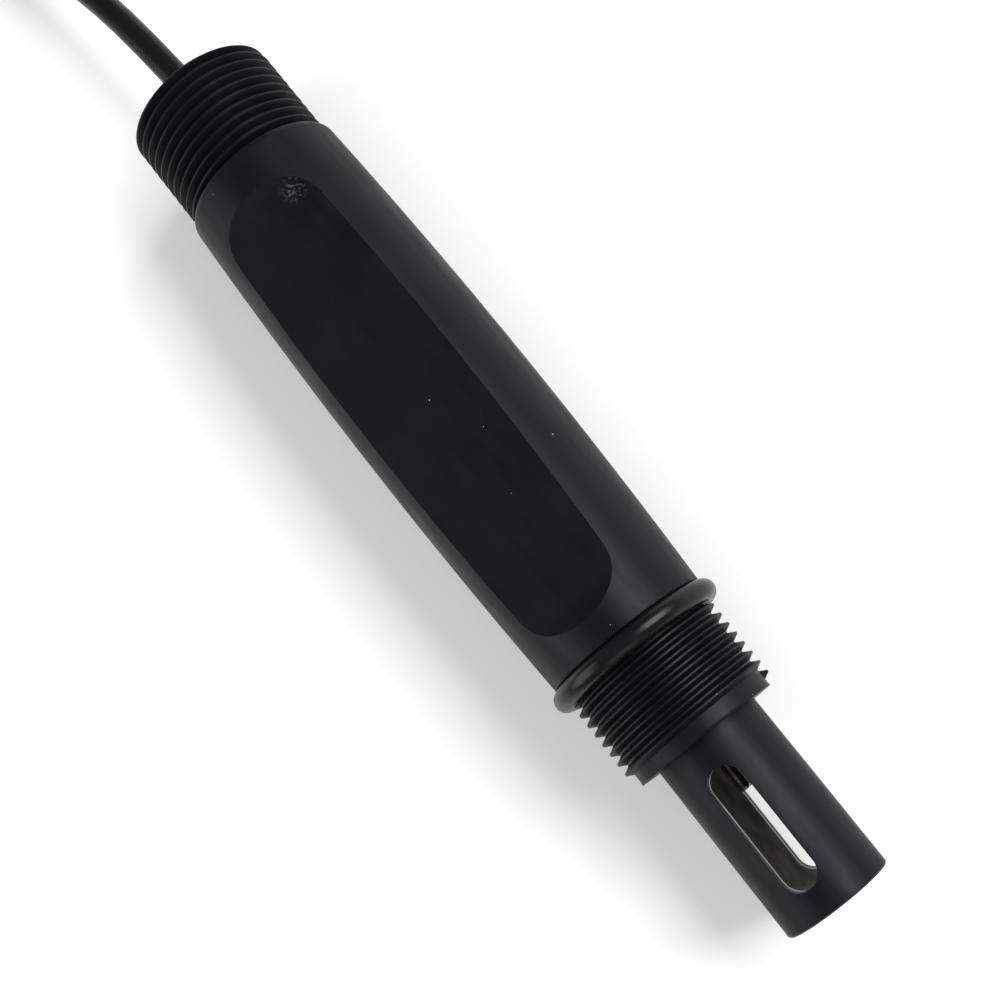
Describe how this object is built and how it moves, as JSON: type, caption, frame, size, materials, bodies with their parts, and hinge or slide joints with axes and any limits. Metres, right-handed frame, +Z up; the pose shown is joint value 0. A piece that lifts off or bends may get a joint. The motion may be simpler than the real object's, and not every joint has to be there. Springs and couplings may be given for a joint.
{
  "type": "conductivity sensor",
  "caption": "Black moulded conductivity probe with pipe threads at both ends, wrench flats, a rubber sealing ring, a slotted guard tube over pin electrodes and a folded cable.",
  "frame": {"origin": "on the bench, straight below the middle of the probe's length, cable left out", "axes": "+X along the probe from the cable end to the open tip, +Z up, square to the wrench flats"},
  "size_m": [0.3844, 0.0464, 0.0309],
  "materials": {
    "body_plastic": "satin black moulded thermoplastic with crisp edges, scuffs and dust specks",
    "seal_rubber": "smooth black rubber, slightly glossy",
    "cable_jacket": "satin black cable jacket",
    "pin_steel": "polished stainless steel, turned, with chamfered tips",
    "shrink_sleeve": "black heat shrink sleeve",
    "bead_coating": "dark resin coated bead with tinned legs",
    "red_insulation": "smooth red wire insulation",
    "black_insulation": "smooth black wire insulation",
    "white_insulation": "smooth white wire insulation",
    "green_insulation": "smooth green wire insulation",
    "tinned_copper": "tinned copper, dull silver",
    "tie_nylon": "black woven nylon strap",
    "clamp_brass": "plain crimped brass ring",
    "dam_foam": "dark grey closed cell foam",
    "casting_resin": "black casting resin with a smooth free surface"
  },
  "bodies": {
    "root": {"sensor_body": "body_plastic", "guard_tube": "body_plastic", "seal_ring": "seal_rubber", "shank_ring_front": "seal_rubber", "shank_ring_rear": "seal_rubber", "pin_washer_upper": "seal_rubber", "pin_washer_lower": "seal_rubber", "electrode_pin_upper": "pin_steel", "electrode_pin_lower": "pin_steel", "joint_sleeve_upper": "shrink_sleeve", "joint_sleeve_lower": "shrink_sleeve", "bead_sleeve": "shrink_sleeve", "end_sleeve": "shrink_sleeve", "temperature_bead": "bead_coating", "core_red": "red_insulation", "core_black": "black_insulation", "core_white": "white_insulation", "core_green": "green_insulation", "lead_red": "red_insulation", "lead_black": "black_insulation", "lead_white": "white_insulation", "lead_green": "green_insulation", "drain_wire": "tinned_copper", "lead_ferrules": "tinned_copper", "cable_stub": "cable_jacket", "sensor_cable": "cable_jacket", "cable_hank": "cable_jacket", "hank_tie_left": "tie_nylon", "hank_tie_right": "tie_nylon", "cable_clamp": "clamp_brass", "foam_dam": "dam_foam", "rear_resin": "casting_resin", "front_resin": "casting_resin"}
  },
  "joints": []
}
